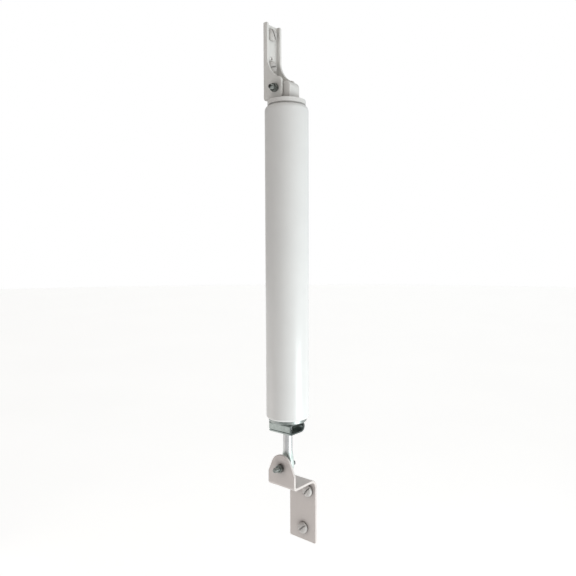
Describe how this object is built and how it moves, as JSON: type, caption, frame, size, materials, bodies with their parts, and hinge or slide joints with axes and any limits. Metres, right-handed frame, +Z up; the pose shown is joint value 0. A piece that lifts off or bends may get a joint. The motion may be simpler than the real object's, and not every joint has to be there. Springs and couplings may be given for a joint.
{
  "type": "pneumatic door closer",
  "caption": "Spring-return air closer for a light screen or shutter door: tube on a channel bracket, sliding rod, hold-open washer and Z-shaped jamb bracket.",
  "frame": {"origin": "on the door bracket's mounting face, midway between its two screws", "axes": "+X away from the door, +Y along both pins towards the jamb plate's mounting face, +Z up the tube towards the door bracket"},
  "size_m": [0.0325, 0.0355, 0.3914],
  "materials": {
    "white_paint": "semi-gloss off-white paint",
    "white_casting": "satin off-white paint",
    "zinc_plate": "zinc plate",
    "dark_zinc": "dull dark zinc",
    "rod_steel": "ground bright steel",
    "spring_steel": "oiled spring steel",
    "black_rubber": "matt",
    "felt": "pressed felt",
    "nylon": "natural nylon",
    "brass": "turned brass"
  },
  "bodies": {
    "door": {"door_bracket": "white_paint", "door_screw_upper": "white_paint", "door_screw_lower": "white_paint", "door_pin": "dark_zinc", "door_pin_nut": "dark_zinc"},
    "barrel": {"tube": "white_paint", "rear_cap": "white_casting", "rear_cap_seal": "black_rubber", "bumper": "black_rubber", "front_cap": "dark_zinc", "rod_wiper": "felt", "spring_seat": "zinc_plate", "return_spring": "spring_steel"},
    "speed_screw": {"speed_screw": "brass"},
    "piston": {"piston": "nylon", "piston_cup": "black_rubber"},
    "rod": {"piston_rod": "rod_steel", "piston_washer": "zinc_plate", "piston_nut": "zinc_plate", "jamb_pin": "dark_zinc", "jamb_pin_nut": "dark_zinc", "jamb_spacer": "nylon"},
    "hold_open": {"hold_open_washer": "zinc_plate"},
    "jamb": {"jamb_bracket": "white_paint", "jamb_screw_upper": "white_paint", "jamb_screw_lower": "white_paint"}
  },
  "joints": [
    {"name": "door_pivot", "type": "hinge", "parent": "door", "child": "barrel", "pos_m": [0.013, 0, -0.0304], "axis": [0, -1, 0], "range_deg": [0, 80]},
    {"name": "speed_screw_turn", "type": "hinge", "parent": "barrel", "child": "speed_screw", "pos_m": [0.0165, 0.0102, -0.039], "axis": [0, 0, 1], "range_deg": [-360, 360]},
    {"name": "rod_slide", "type": "slide", "parent": "barrel", "child": "piston", "axis": [0, 0, -1], "range_m": [0, 0.11], "stiffness_N_per_m": 220, "springref_m": -0.14, "deforming": ["return_spring"]},
    {"name": "rod_turn", "type": "hinge", "parent": "piston", "child": "rod", "pos_m": [0.0165, 0, -0.0762], "axis": [0, 0, 1], "continuous": true},
    {"name": "washer_slide", "type": "slide", "parent": "rod", "child": "hold_open", "axis": [0, 0, -1], "range_m": [0, 0.012]},
    {"name": "jamb_pivot", "type": "hinge", "parent": "rod", "child": "jamb", "pos_m": [0.0165, 0, -0.3086], "axis": [0, 1, 0], "range_deg": [-90, 90]}
  ]
}
